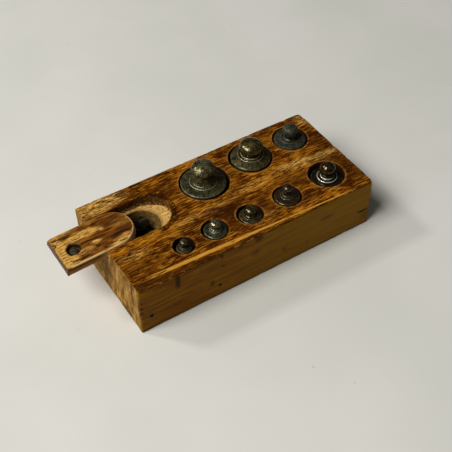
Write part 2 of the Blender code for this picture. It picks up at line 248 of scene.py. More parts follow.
def eased(corners, radius=0.16, step=0.4):
    """The profile with its sharp corners rounded and its long straight parts divided."""
    out = [corners[0]]
    for before, here, after in zip(corners, corners[1:], corners[2:]):
        before, here, after = (np.array(p, float) for p in (before, here, after))
        back, ahead = before - here, after - here
        back_length, ahead_length = np.linalg.norm(back), np.linalg.norm(ahead)
        turn = math.degrees(math.acos(np.clip(-back @ ahead / back_length / ahead_length, -1, 1)))
        if turn < 22:
            out.append(tuple(here))
            continue
        cut = min(radius, 0.45 * back_length, 0.45 * ahead_length)
        start, end = here + back / back_length * cut, here + ahead / ahead_length * cut
        for t in (0, 0.25, 0.5, 0.75, 1):
            out.append(tuple(start * (1 - t) ** 2 + here * 2 * t * (1 - t) + end * t * t))
    out.append(corners[-1])
    fine = [out[0]]
    for a, b in zip(out, out[1:]):
        a, b = np.array(a), np.array(b)
        parts = max(1, math.ceil(np.linalg.norm(b - a) / step))
        fine += [tuple(a + (b - a) * i / parts) for i in range(1, parts + 1)]
    return fine


def graded(low, high):
    """Grid lines from low to high, closer together near both ends."""
    margin = np.array([0, 0.15, 0.32, 0.52, 0.78, 1.1])
    count = round((high - low - 2.2) / GRID_STEP)
    middle = np.linspace(low + 1.1, high - 1.1, count + 1)[1:-1]
    return np.concatenate([low + margin, middle, high - margin[::-1]])


def dense_box(ticks):
    """Points and quads of a closed box with grid lines at these x, y and z."""
    points, quads, start = [], [], 0
    for axis in range(3):
        u, v = (axis + 1) % 3, (axis + 2) % 3
        a, b = np.meshgrid(ticks[u], ticks[v], indexing="ij")
        index = np.arange(a.size).reshape(a.shape)
        face = np.stack([index[:-1, :-1], index[1:, :-1], index[1:, 1:], index[:-1, 1:]], -1).reshape(-1, 4)
        for side in (0, -1):
            grid = np.empty((a.size, 3))
            grid[:, u], grid[:, v], grid[:, axis] = a.ravel(), b.ravel(), ticks[axis][side]
            points.append(grid)
            quads.append((face if side else face[:, ::-1]) + start)
            start += a.size
    points, inverse = np.unique(np.round(np.concatenate(points), 5), axis=0, return_inverse=True)
    return points, inverse.reshape(-1)[np.concatenate(quads)]


def dent(points, normals, places):
    """Pushes the surface in at each (x, y, z, reach x, reach y, reach z, depth)."""
    for x, y, z, reach_x, reach_y, reach_z, depth in places:
        away = (points - (x, y, z)) / (reach_x, reach_y, reach_z)
        points = points - normals * (depth * np.exp(-(away ** 2).sum(1)))[:, None]
    return points


def edge_dents(count):
    """Knocks along the block's twelve edges."""
    places = []
    for _ in range(count):
        along = RNG.integers(3)
        place = np.array([BLOCK_LOW, BLOCK_HIGH])[RNG.integers(2, size=3), range(3)]
        place[along] = RNG.uniform(BLOCK_LOW[along] + 1, BLOCK_HIGH[along] - 1)
        reach = np.full(3, 0.7)
        reach[along] = RNG.uniform(0.4, 1.6)
        places.append((*place, *reach, RNG.uniform(0.08, 0.3)))
    return places


# Splinters off the near left upright edge, and knocks that the other edges show.
BLOCK_DENTS = (
    (LEFT, FRONT, 17.0, 0.9, 0.9, 1.0, 0.7), (LEFT, FRONT, 14.4, 0.8, 0.8, 0.7, 0.6),
    (LEFT, FRONT, 11.9, 0.9, 0.9, 0.9, 0.75), (LEFT, FRONT, 6.0, 0.7, 0.7, 0.8, 0.3),
    (LEFT, FRONT, TOP, 1.6, 1.6, 1.2, 0.7), (LEFT, -1.6, TOP, 1.3, 1.3, 1.0, 0.55),
    (LEFT, 17.6, TOP, 1.0, 1.0, 0.8, 0.4), (RIGHT, FRONT, TOP, 1.5, 1.5, 1.2, 0.6),
    (RIGHT, -FRONT, TOP, 1.2, 1.2, 1.0, 0.4), (9.0, FRONT, TOP, 1.6, 0.6, 0.5, 0.35),
    (-1.5, FRONT, TOP, 1.2, 0.6, 0.7, 0.4), (28.0, FRONT, TOP, 2.2, 0.6, 0.5, 0.3),
    (-38.0, FRONT, TOP, 1.0, 0.7, 0.8, 0.3),
)


def block_shell():
    """The block before it is bored: a box with worn, unevenly rounded edges."""
    ticks = [graded(low, high) for low, high in zip(BLOCK_LOW, BLOCK_HIGH)]
    points, quads = dense_box(ticks)
    radius = (EDGE_RADIUS + EDGE_RADIUS_CHANGE * fractal(points / (9, 9, 9), 3))[:, None]
    core = np.clip(points, BLOCK_LOW + radius, BLOCK_HIGH - radius)
    away = points - core
    normals = away / np.linalg.norm(away, axis=1, keepdims=True)
    points = core + normals * radius
    points = dent(points, normals, (*BLOCK_DENTS, *edge_dents(EDGE_KNOCKS)))
    x, y, z = points.T
    sunk = 0.05 + 0.05 * fractal(points / (14, 6, 6), 5) + 0.035 * fractal(points / (7, 0.9, 0.9), 8)
    points = points - normals * (sunk * (z > 0.6))[:, None]
    # The near top edge is planed off at a slant that widens to the left.
    start = 21.8 + 0.04 * (x + 48)
    slant = TOP - 0.09 * (-y - start)
    points[:, 2] = np.where((z > TOP - 1.5) & (-y > start), np.minimum(points[:, 2], slant), points[:, 2])
    return make_object("block_shell", points, quads.tolist(), [])


def cutter(name, points, faces, swell, x, y):
    """A turned cutter, grown outwards by swell and moved to x and y."""
    across = np.linalg.norm(points[:, :2], axis=1)
    grown = 1 + np.divide(swell, across, out=np.zeros_like(across), where=across > 1)
    points[:, :2] = points[:, :2] * grown[:, None] + (x, y)
    return make_object(name, points, faces, [])


def bore_cutter(weight, bottom):
    """A bore with a worn mouth."""
    x, y, radius = weight.bore
    round_off = 0.3
    angles = np.linspace(0, math.pi / 2, 5)
    mouth = [(radius + round_off * (1 - math.cos(t)), TOP - round_off * (1 - math.sin(t))) for t in angles]
    wall = [(radius, z) for z in np.linspace(bottom + 0.3, TOP - round_off, 9)[:-1]]
    foot = [(0, bottom), (radius - 0.3, bottom)]
    profile = [*foot, *wall, *mouth, (radius + round_off, TOP + 1), (0, TOP + 1)]
    points, faces = lathe(profile[::-1], CUTTER_STEPS)
    near_mouth = np.exp(-((points[:, 2] - TOP) / 0.7) ** 2)
    around = points / (1.3, 1.3, 2.0) + (x, y, 0)
    swell = near_mouth * 0.12 * fractal(around, 21) + 0.03 * fractal(points / (3, 3, 1.5) + (y, x, 0), 23)
    return cutter("bore_" + weight.name, points, faces, swell, x, y)


def stadium(half, outer, arc_x):
    """Outline of a tongue: square at outer, round at the other end, counter-clockwise from below."""
    xs = np.linspace(outer, arc_x, STRAIGHT_STEPS, endpoint=False)
    angles = np.linspace(-math.pi / 2, math.pi / 2, ARC_POINTS)
    near = [(x, -half) for x in xs]
    tip = [(arc_x + half * math.cos(a), half * math.sin(a)) for a in angles]
    far = [(x, half) for x in xs[::-1]]
    return near + tip + far


def loft(outlines, levels):
    """A closed solid through outlines of equal length at rising levels."""
    count = len(outlines[0])
    points = np.array([(x, y, z) for outline, z in zip(outlines, levels) for x, y in outline])
    faces = [tuple(range(count))[::-1], tuple(range((len(levels) - 1) * count, len(levels) * count))]
    for i in range(len(levels) - 1):
        a, b = i * count, (i + 1) * count
        faces += [(a + j, a + (j + 1) % count, b + (j + 1) % count, b + j) for j in range(count)]
    return points, faces


def channel_cutter():
    floor = TOP - CHANNEL_DEPTH
    slope = (CHANNEL_HALF_FLOOR - CHANNEL_HALF_TOP) / CHANNEL_DEPTH
    rise = [0, 0.15, 0.7, 1.4, 2.1, 2.8, 3.3, 3.65]
    halves = [CHANNEL_HALF_FLOOR - 0.2] + [CHANNEL_HALF_FLOOR - slope * h for h in rise[1:]]
    rim = CHANNEL_HALF_TOP
    levels = [floor + h for h in rise] + [TOP - 0.2, TOP - 0.07, TOP + 0.02, TOP + 1]
    halves += [rim + 0.06, rim + 0.16, rim + 0.3, rim + 0.3]
    outlines = [stadium(half, LEFT - 1, CHANNEL_ARC_X) for half in halves]
    points, faces = loft(outlines, levels)
    x, y, z = points.T
    inward = np.stack([np.where(x > CHANNEL_ARC_X, x - CHANNEL_ARC_X, 0), y, np.zeros(len(x))], 1)
    inward /= np.linalg.norm(inward, axis=1, keepdims=True)
    near_top = np.exp(-((z - TOP) / 0.9) ** 2)
    ragged = 0.16 * near_top * fractal(points / (0.9, 0.9, 0.8), 31) + 0.05 * fractal(points / (3, 3, 2), 33)
    points = points + inward * (ragged * (z > floor + 0.1))[:, None]
    points[:, 1] += CHANNEL_Y
    return make_object("channel", points, faces, [])


def pocket_cutter():
    floor = TOP - CHANNEL_DEPTH - POCKET_DEPTH
    above = TOP - CHANNEL_DEPTH + 1
    wall = [(POCKET_RADIUS, z) for z in np.arange(floor + 0.6, above - 1.0, 0.5)]
    wide = POCKET_RADIUS + 0.2
    rim = [(POCKET_RADIUS + 0.02, above - 1.15), (wide, above - 1.0), (wide, above)]
    bottom = [(0, floor), (POCKET_RADIUS - 0.8, floor), (POCKET_RADIUS - 0.25, floor + 0.2)]
    points, faces = lathe([*bottom, *wall, *rim, (0, above)][::-1], CUTTER_STEPS)
    swell = 0.06 * fractal(points / (2.5, 2.5, 0.7), 41)
    return cutter("pocket", points, faces, swell, POCKET_X, POCKET_Y)


def face_kind(centre, normal):
    """Material index of a face of the block: outside, bore, channel or pocket."""
    x, y, z = centre
    if z < TOP - 0.35 or abs(normal[2]) < 0.6:
        for weight in WEIGHTS:
            bore_x, bore_y, radius = weight.bore
            if math.hypot(x - bore_x, y - bore_y) < radius + 0.28 and z > 3:
                return 1
    if LEFT + 0.3 < x and z < TOP - 0.3:
        in_pocket = math.hypot(x - POCKET_X, y - POCKET_Y) < POCKET_RADIUS + 0.3
        if in_pocket and 10 < z < TOP - CHANNEL_DEPTH - 0.06:
            return 3
        across = abs(y - CHANNEL_Y)
        inside = math.hypot(max(x - CHANNEL_ARC_X, 0), across) < CHANNEL_HALF_FLOOR + 0.1
        if inside and z > TOP - CHANNEL_DEPTH - 0.15 and x < CHANNEL_ARC_X + CHANNEL_HALF_FLOOR + 0.1:
            return 2
    return 0


def build_block(looks):
    obj = block_shell()
    for weight in WEIGHTS:
        node = weight.name + "_body" if weight.two_piece else weight.name
        obj = place("block", carve(obj, bore_cutter(weight, box_mm(node)[0][2] - 0.3)))
    obj = place("block", carve(obj, channel_cutter()))
    mesh = carve(obj, pocket_cutter())
    dress(mesh, *looks)
    for face in mesh.polygons:
        face.material_index = face_kind(np.array(face.center) / MM, face.normal)
    piece = place("wood_block_worn", mesh)
    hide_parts("wood_block")
    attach(piece, "block")


LID_DENTS = (
    (-16.25, -9.0, 3.3, 1.4, 1.4, 1.2, 0.5), (-16.0, 9.0, 3.3, 1.0, 1.2, 1.0, 0.4),
    (-13.6, 6.6, 3.3, 0.9, 0.6, 0.6, 0.25), (-9.6, 6.1, 3.3, 1.8, 0.8, 0.6, 0.3),
    (-0.8, -4.8, 3.3, 0.7, 0.6, 0.6, 0.3), (3.1, 6.0, 3.3, 1.0, 0.7, 0.6, 0.2),
    (-7.5, -7.6, 3.3, 2.6, 0.5, 0.6, 0.18), (1.0, -9.2, 3.3, 1.2, 0.6, 0.6, 0.25),
    (14.0, -6.2, 3.3, 1.6, 1.6, 0.8, 0.22),
)


def build_lid(look):
    """The lid is lofted, bored, remeshed finely and then worn."""
    top, bottom = 0.4, 0.25
    rows = [  # height, how far the outline is drawn in
        (0, bottom), (0.08, 0.08), (bottom, 0), (1.0, 0), (1.7, 0), (2.4, 0),
        (LID_THICKNESS - top, 0), (LID_THICKNESS - 0.12, 0.12), (LID_THICKNESS, top),
    ]
    outlines = []
    for height, inset in rows:
        share = height / LID_THICKNESS
        half = LID_HALF_BOTTOM + (LID_HALF_TOP - LID_HALF_BOTTOM) * share - inset
        outlines.append(stadium(half, -LID_LENGTH / 2 + LID_SLANT * share + inset, LID_ARC_X))
    points, faces = loft(outlines, [height for height, _ in rows])
    lid = make_object("lid_shell", points, faces, [])
    seat = LID_THICKNESS - RECESS_DEPTH
    profile = [(0, LID_THICKNESS + 1), (RECESS_RADIUS + 0.5, LID_THICKNESS + 1),
               (RECESS_RADIUS + 0.5, LID_THICKNESS + 0.1), (RECESS_RADIUS + 0.05, LID_THICKNESS - 0.5),
               (RECESS_RADIUS - 0.1, seat + 0.4), (RECESS_RADIUS - 0.5, seat), (SHANK_HOLE, seat),
               (SHANK_HOLE, -1), (0, -1)]
    points, faces = lathe(profile, PIN_STEPS)
    angle = np.arctan2(points[:, 1], points[:, 0])
    ragged = 1 + 0.07 * np.cos(3 * angle + 0.6) + 0.05 * np.cos(5 * angle - 1)
    wide = np.linalg.norm(points[:, :2], axis=1) > SHANK_HOLE + 0.2
    points[:, :2] *= np.where(wide, ragged, 1)[:, None]
    points[:, :2] += (RECESS_X, RECESS_Y)
    lid = place("lid_shell", carve(lid, make_object("recess", points, faces, [])))
    remesh = lid.modifiers.new("even", "REMESH")
    remesh.mode = "VOXEL"
    remesh.voxel_size = LID_VOXEL * MM
    mesh = evaluated(lid)
    points, normals = points_of(mesh), normals_of(mesh)
    points = dent(points, normals, LID_DENTS)
    sunk = 0.04 + 0.04 * fractal(points / (9, 3, 3), 51) + 0.03 * fractal(points / (4, 0.7, 0.7), 53)
    move_points(mesh, points - normals * sunk[:, None])
    dress(mesh, look)
    piece = place("sliding_lid_worn", mesh, LID_PIVOT, LID_TILT)
    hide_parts("sliding_lid")
    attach(piece, "lid")


def build_pin(look):
    edge = PIN_UNDER + PIN_HEAD_HEIGHT / 2
    dome = [(PIN_HEAD_RADIUS * math.sin(a), edge + PIN_HEAD_HEIGHT / 2 * math.cos(a))
            for a in np.linspace(0, math.pi / 2, 12)]
    corners = [*dome, (PIN_HEAD_RADIUS, PIN_UNDER), (PIN_SHANK_RADIUS, PIN_UNDER),
               (PIN_SHANK_RADIUS, PIN_END), (0, PIN_END)]
    points, faces = lathe(eased(corners, 0.1, 0.2), PIN_STEPS)
    wear = np.clip(fractal(points / (0.8, 0.8, 0.8), 61), 0, 1)
    head = points[:, 2] > PIN_UNDER + 0.05
    points[:, 2] -= head * (0.06 + 0.06 * fractal(points / (0.7, 0.7, 0.7), 63))
    points[:, :2] *= (1 - 0.05 * head * (1 + fractal(points / (1.1, 1.1, 1.1), 64)))[:, None]
    tilt = Matrix.Rotation(-LID_TILT, 3, "Y")
    location = Vector(LID_PIVOT) + tilt @ Vector((RECESS_X, RECESS_Y, 0))
    piece = make_object("lid_pin_turned", points, faces, [look], {"wear": wear}, location, LID_TILT)
    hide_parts("lid_pin")
    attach(piece, "lid")


def head_corners(weight):
    """Knob, neck, collar and boss, from the top down to where the boss meets the disc."""
    under = -math.acos(weight.neck / weight.knob_radius)
    turns = np.linspace(math.pi / 2, under, 40)
    knob = [(weight.knob_radius * math.cos(a), weight.knob_z + weight.knob_half * math.sin(a)) for a in turns]
    boss = [(weight.boss_radius, weight.boss_z), (weight.boss_radius, weight.crown)]
    if weight.collar_radius:
        boss = [(weight.collar_radius, weight.collar_z), (weight.collar_radius, weight.boss_z), *boss]
    foot_radius, foot_z = boss[0]
    shoulder, neck_top = FOOT_SHARE * foot_radius, knob[-1][1]
    arcs = np.linspace(0, math.pi / 2, 13)[1:]
    neck = [(shoulder - (shoulder - weight.neck) * math.cos(a),
             foot_z + (neck_top - foot_z) * (1 - math.sin(a))) for a in arcs]
    return [(0.0, knob[0][1]), *knob[1:], *neck, *boss]


def disc_corners(weight, height):
    radius = weight.disc_radius
    return [(radius - DISC_CHAMFER, 0.0), (radius, -DISC_CHAMFER), (radius, FOOT_CHAMFER - height),
            (radius - FOOT_CHAMFER, -height), (0.0, -height)]


def turned_piece(name, weight, corners, look, place_at, pits):
    """One turned brass piece. Its wear attribute is high on the corners that hands and the box rub; on the
    boss and collar edges it partly paints a highlight.
    """
    steps = LARGE_WEIGHT_STEPS if weight.disc_radius > 6 else SMALL_WEIGHT_STEPS
    points, faces = lathe(eased(corners), steps)
    across = np.linalg.norm(points[:, :2], axis=1)
    z = points[:, 2]
    # The wider bright ring on the 10 g front weight's collar is partly a painted highlight of its bevel.
    reach = 0.3 if weight.name == "weight_10g_front" else 0.2
    rims = [(weight.disc_radius - 0.15, -0.12, 0.3, 0.42), (weight.boss_radius, weight.boss_z, reach, 1.0)]
    if weight.collar_radius:
        rims.append((weight.collar_radius, weight.collar_z, reach, 1.0))
    wear = np.zeros(len(points))
    for radius, height, width, strength in rims:
        gap = np.hypot(across - radius, z - height)
        wear = np.maximum(wear, strength * np.exp(-(gap / width) ** 2))
    seed = sum(map(ord, name))
    normals = np.zeros_like(points)
    normals[:, :2] = points[:, :2] / np.maximum(across, 0.01)[:, None]
    normals[:, 2] = np.where(z > -0.2, 0.7, 0)
    shown = z > -0.5
    pitted = np.clip(fractal(points / (0.55, 0.55, 0.55), seed + 5) - 0.35, 0, 1)
    rough = 0.02 * fractal(points / (1.6, 1.6, 1.6), seed) - pits * pitted
    points = points + normals * (rough * shown)[:, None]
    piece = make_object(name + "_turned", points, faces, [look], {"wear": wear}, place_at)
    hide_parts(name)
    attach(piece, weight.name)


def build_weight(weight, look, pits):
    top_node = weight.name + "_knob" if weight.two_piece else weight.name
    body_node = weight.name + "_body" if weight.two_piece else weight.name
    low, high = box_mm(top_node)
    gap = SHOULDER_GAP if weight.two_piece else 0.0
    edge = high[2] - gap - weight.knob_z - weight.knob_half
    place_at = ((low[0] + high[0]) / 2, (low[1] + high[1]) / 2, edge)
    height = edge - box_mm(body_node)[0][2]
    if not weight.two_piece:
        corners = head_corners(weight) + disc_corners(weight, height)
        turned_piece(weight.name, weight, corners, look, place_at, pits)
        return
    seat = [(0.0, weight.crown - CAVITY_DEPTH), (CAVITY_RADIUS, weight.crown - CAVITY_DEPTH),
            (CAVITY_RADIUS, weight.crown), (weight.boss_radius, weight.crown + 0.001)]
    turned_piece(body_node, weight, seat + disc_corners(weight, height), look, place_at, pits)
    stem_end = weight.crown - STEM_LENGTH
    stem = [(STEM_RADIUS, weight.crown), (STEM_RADIUS, stem_end), (0.0, stem_end)]
    knob = [(radius, z + SHOULDER_GAP) for radius, z in head_corners(weight) + stem]
    turned_piece(top_node, weight, knob, look, place_at, pits)


def build_leaf(milligrams, look, seed):
    """The flat CAD leaf again, finer and slightly buckled."""
    node = f"leaf_weight_{milligrams}mg"
    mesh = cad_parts[node].data.copy()
    mesh.name = node + "_buckled"
    obj = place("leaf", mesh)
    fine = obj.modifiers.new("fine", "SUBSURF")
    fine.subdivision_type = "SIMPLE"
    fine.levels = fine.render_levels = 3
    mesh = evaluated(obj)
    points = points_of(mesh)
    flat = points * (1, 1, 0)
    buckle = 0.07 * fractal(flat / (3.0, 3.0, 1), seed)
    points[:, 2] += buckle + 0.02 * fractal(flat / (0.9, 0.9, 1), seed + 3)
    wear = np.clip(0.3 + 0.8 * fractal(points / (1.4, 1.4, 1.4), seed + 9), 0, 1)
    move_points(mesh, points)
    dress(mesh, look)
    mesh.attributes.new("wear", "FLOAT", "POINT").data.foreach_set("value", wear.astype(np.float32))
    piece = place(f"{node}_buckled", mesh)
    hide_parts(node)
    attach(piece, f"leaf_{milligrams}mg")


# ---------------------------------------------------------------- materials


def to_linear(colour):
    """A linear colour from the 0 to 255 numbers of a screen colour. A socket stays as it is."""
    if isinstance(colour, bpy.types.NodeSocket):
        return colour
    shares = (number / 255 for number in colour)
    return (*(c / 12.92 if c <= 0.04045 else ((c + 0.055) / 1.055) ** 2.4 for c in shares), 1.0)


class Value:
    """A socket of a material's node tree that can be added, multiplied and so on."""

    def __init__(self, look, socket):
        self.look, self.socket = look, socket

    def _with(self, operation, *others):
        return self.look.math(operation, self, *others)

    def __add__(self, other):
        return self._with("ADD", other)

    def __sub__(self, other):
        return self._with("SUBTRACT", other)

    def __mul__(self, other):
        return self._with("MULTIPLY", other)

    def __truediv__(self, other):
        return self._with("DIVIDE", other)

    def __rsub__(self, other):
        return self.look.math("SUBTRACT", other, self)

    __radd__, __rmul__ = __add__, __mul__

    def abs(self):
        return self._with("ABSOLUTE")

    def min(self, other):
        return self._with("MINIMUM", other)

    def max(self, other):
        return self._with("MAXIMUM", other)

    def step(self, low, high, out_low=0.0, out_high=1.0):
        """Goes smoothly from out_low to out_high as this goes from low to high."""
        node = self.look.nodes.new("ShaderNodeMapRange")
        node.interpolation_type = "SMOOTHSTEP"
        for socket, number in zip(node.inputs, (self, low, high, out_low, out_high)):
            self.look.put(socket, number)
        return Value(self.look, node.outputs[0])

    def fade(self, low, high):
        return self.step(low, high, 1.0, 0.0)


class Look:
    """A procedural material, built up from short calls. Its place is in millimetres, in the piece's axes."""

    def __init__(self, name):
        self.material = bpy.data.materials.new(name)
        self.material.use_nodes = True
        self.nodes = self.material.node_tree.nodes
        self.links = self.material.node_tree.links
        self.shader = self.nodes["Principled BSDF"]
        coordinates = self.nodes.new("ShaderNodeTexCoord").outputs["Object"]
        self.place = self.vector("SCALE", coordinates, scale=1000.0)
        split = self.nodes.new("ShaderNodeSeparateXYZ")
        self.links.new(self.place, split.inputs[0])
        self.x, self.y, self.z = (Value(self, socket) for socket in split.outputs)

    def put(self, socket, value):
        if isinstance(value, Value):
            self.links.new(value.socket, socket)
        elif isinstance(value, bpy.types.NodeSocket):
            self.links.new(value, socket)
        else:
            socket.default_value = value

    def math(self, operation, *values):
        node = self.nodes.new("ShaderNodeMath")
        node.operation = operation
        for socket, value in zip(node.inputs, values):
            self.put(socket, value)
        return Value(self, node.outputs[0])

    def vector(self, operation, first, second=None, scale=None):
        node = self.nodes.new("ShaderNodeVectorMath")
        node.operation = operation
        self.put(node.inputs[0], first)
        if second is not None:
            self.put(node.inputs[1], second)
        if scale is not None:
            self.put(node.inputs["Scale"], scale)
        return node.outputs["Value" if operation == "LENGTH" else "Vector"]

    def stretched(self, scale, offset=(0, 0, 0), warp=None):
        """The place times scale, moved by offset, and by warp where given."""
        node = self.nodes.new("ShaderNodeVectorMath")
        node.operation = "MULTIPLY_ADD"
        self.put(node.inputs[0], self.place)
        self.put(node.inputs[1], scale)
        self.put(node.inputs[2], offset)
        return self.vector("ADD", node.outputs[0], warp) if warp else node.outputs[0]

    def texture(self, kind, place, detail):
        node = self.nodes.new("ShaderNodeTex" + kind)
        self.put(node.inputs["Vector"], place)
        node.inputs["Scale"].default_value = 1.0
        node.inputs["Detail"].default_value = detail
        return node

    def noise(self, scale, offset=(0, 0, 0), detail=4.0, roughness=0.55, distortion=0.0, warp=None):
        node = self.texture("Noise", self.stretched(scale, offset, warp), detail)
        node.inputs["Roughness"].default_value = roughness
        node.inputs["Distortion"].default_value = distortion
        return Value(self, node.outputs["Fac"])

    def warp(self, scale, size, offset=(0, 0, 0)):
        """A vector that wanders by about size."""
        node = self.texture("Noise", self.stretched(scale, offset), 2.0)
        centred = self.vector("SUBTRACT", node.outputs["Color"], (0.5, 0.5, 0.5))
        return self.vector("MULTIPLY", centred, size)

    def wandering(self, scale, size):
        """The place, moved about by up to half of size."""
        return self.vector("ADD", self.place, self.warp(scale, size))

    def cells(self, scale, offset=(0, 0, 0)):
        """Distance to the nearest of scattered points."""
        node = self.texture("Voronoi", self.stretched(scale, offset), 0.0)
        return Value(self, node.outputs["Distance"])

    def blob(self, centre, reach, soft=0.5, warp=None):
        """1 inside an ellipsoid that fades out round its edge."""
        away = self.vector("SUBTRACT", warp if warp else self.place, centre)
        away = self.vector("MULTIPLY", away, tuple(1 / size for size in reach))
        distance = Value(self, self.vector("LENGTH", away))
        return distance.fade(1 - soft, 1 + soft)

    def blobs(self, marks, soft=0.5, warp=None):
        """The strongest of marks of (centre, reach, strength)."""
        total = 0.0
        for centre, reach, strength in marks:
            one = self.blob(centre, reach, soft, warp) * strength
            total = one.max(total) if isinstance(total, Value) else one
        return total

    def layers(self, colour, *layers):
        """The colour under layers of (share, colour), the last on top."""
        for share, over in layers:
            colour = self.mix(share, colour, over)
        return colour

    def mix(self, share, first, second):
        node = self.nodes.new("ShaderNodeMix")
        node.data_type = "RGBA"
        self.put(node.inputs[0], share)
        self.put(node.inputs[6], to_linear(first))
        self.put(node.inputs[7], to_linear(second))
        return node.outputs[2]

    def ramp(self, value, *stops):
        """A colour ramp of (position, colour) stops."""
        node = self.nodes.new("ShaderNodeValToRGB")
        self.put(node.inputs[0], value)
        elements = node.color_ramp.elements
        while len(elements) < len(stops):
            elements.new(0.5)
        for element, (position, colour) in zip(elements, stops):
            element.position, element.color = position, to_linear(colour)
        return node.outputs[0]

    def across(self, arc_x, y=0.0):
        """Distance from the centreline of a tongue, or from its arc's centre beyond arc_x."""
        node = self.nodes.new("ShaderNodeCombineXYZ")
        self.put(node.inputs[0], (self.x - arc_x).max(0.0))
        self.put(node.inputs[1], self.y - y)
        return Value(self, self.vector("LENGTH", node.outputs[0]))

    def around(self, x, y):
        """Distance from the upright line at x and y."""
        away = self.vector("SUBTRACT", self.place, (x, y, 0))
        return Value(self, self.vector("LENGTH", self.vector("MULTIPLY", away, (1, 1, 0))))

    def attribute(self, name):
        node = self.nodes.new("ShaderNodeAttribute")
        node.attribute_name = name
        return Value(self, node.outputs["Fac"])

    def bump(self, height, distance_mm):
        node = self.nodes.new("ShaderNodeBump")
        self.put(node.inputs["Height"], height)
        node.inputs["Distance"].default_value = distance_mm * MM
        self.links.new(node.outputs[0], self.shader.inputs["Normal"])

    def finish(self, colour, roughness, specular=0.5, coat=0.0, coat_roughness=0.3):
        self.put(self.shader.inputs["Base Color"], colour)
        self.put(self.shader.inputs["Roughness"], roughness)
        self.put(self.shader.inputs["Specular IOR Level"], specular)
        self.shader.inputs["Coat Weight"].default_value = coat
        self.shader.inputs["Coat Roughness"].default_value = coat_roughness
        return self.material


GOLD = (182, 116, 23)
AMBER = (131, 74, 8)
UMBER = (84, 42, 4)
DARK = (40, 15, 3)
PALE = (238, 188, 98)


def grain(look, seed):
    """Wood grain along x: (slow colour drift, long streaks, fine fibres, pores), each about 0 to 1."""
    wander = look.warp((0.03, 0.09, 0.09), (0.6, 2.0, 2.0), (seed, 3, 7))
    drift = look.noise((0.03, 0.14, 0.14), (seed, 0, 0), 3, 0.5, warp=wander)
    streaks = look.noise((0.085, 1.0, 1.0), (seed + 9, 4, 2), 7, 0.68, 0.15, warp=wander)
    fibres = look.noise((0.3, 3.8, 3.8), (seed, 8, 1), 4, 0.68, warp=wander)
    pores = look.noise((0.55, 4.2, 4.2), (seed + 5, 2, 9), 3, 0.6)
    return drift, streaks, fibres, pores


def nearest_edge(look):
    """Distance from a point of the block's surface to the nearest edge of the box."""
    a = RIGHT - look.x.abs()
    b = -FRONT - look.y.abs()
    c = look.z.min(TOP - look.z)
    return a + b + c - a.max(b).max(c) - a.min(b).min(c)


TOP_PALE = [((x, y, TOP), (a, b, c), share) for x, y, a, b, c, share in (
    (-45, 22.5, 9, 3.2, 3, 1.0), (-53, 23, 3.5, 4, 3, 0.7), (-50, 19, 5, 1.2, 2, 0.5),
    (33, 0.3, 8, 1.4, 2, 0.9), (42, -1.8, 13, 1.8, 2, 0.6), (12, -1.2, 10, 2.0, 2, 0.32),
    (-8, -3.5, 10, 1.6, 2, 0.22), (53, 22, 2.4, 4, 3, 0.6), (-47, -9, 6, 2.0, 2, 0.4),
    (-20, -4, 8, 1.4, 2, 0.35), (9, -18.5, 3, 1.2, 2, 0.35),
)]
TOP_DARK = [((x, y, TOP), (a, b, 2), share) for x, y, a, b, share in (
    (-5, -8, 9, 3.0, 1.0), (-3, -11, 3.2, 5, 0.9), (-21, -15, 4, 4.5, 0.45), (10.5, -12, 3, 5, 0.6),
    (47, -20, 7, 2.6, 0.45), (51.5, -12, 2.2, 9, 0.5), (51, 6, 2.2, 6, 0.4), (-15, -7.5, 5, 1.6, 0.5),
    (-44, -6.5, 8, 0.9, 0.4), (-40, -17, 12, 1.4, 0.45), (-31, 16.3, 12, 1.6, 0.85),
    (-40, 19.2, 3.4, 1.0, 0.8), (-19, 14, 4, 3.5, 0.5), (26, -8.5, 12, 2.6, 0.6), (-46, -14.5, 9, 4, 0.45),
    (50, 10, 1.8, 1.3, 0.7), (49, 1.8, 1.6, 0.9, 0.6), (31, 22, 9, 1.8, 0.6), (10, 23, 10, 1.6, 0.4),
    (-52, -24, 4.5, 1.8, 0.8), (-36, -24.4, 13, 1.2, 0.55), (29, -20, 3, 1.0, 0.7), (7, -22.5, 6, 0.8, 0.4),
    (10, 7, 3, 6, 0.35),
)]
END_MARKS_AND_LID_SHADOW = (
    ((LEFT, -20.4, 17), (2, 0.5, 9), 0.9),
    ((LEFT, -21.4, 22.5), (2, 1.6, 2.0), 0.8),
    # Painted shadow of the lid, on the left end just below it.
    ((LEFT, -1, 15), (2, 4, 7), 0.35),
    ((LEFT, -12.5, 12.5), (2, 0.35, 6), 0.5),
    ((LEFT, -15, 2.4), (2, 5, 1.3), 0.5),
    ((LEFT, FRONT, 14.5), (2, 1.6, 6), 0.8),
    ((RIGHT, 8, 14), (2, 0.4, 8), 0.7),
    ((RIGHT, -14, 9), (2, 3, 3), 0.3),
)
TOP_SHADE = [((x, y, TOP), (a, b, 3), share) for x, y, a, b, share in (
    (-4, -12, 11, 7, 0.75), (-20, -13, 6, 7, 0.4), (20, -19, 12, 4, 0.35), (50.5, -10, 6, 14, 0.7),
    (51, 7, 5, 6, 0.6), (52, 17, 3, 5, 0.35), (9.5, -14, 3.5, 6, 0.7), (27, -8, 12, 3.5, 0.5),
    (-48, -17, 9, 5, 0.35), (-18, 15, 6, 7, 0.4), (30, 23, 14, 3, 0.4), (10.5, 9, 3, 9, 0.3),
)]
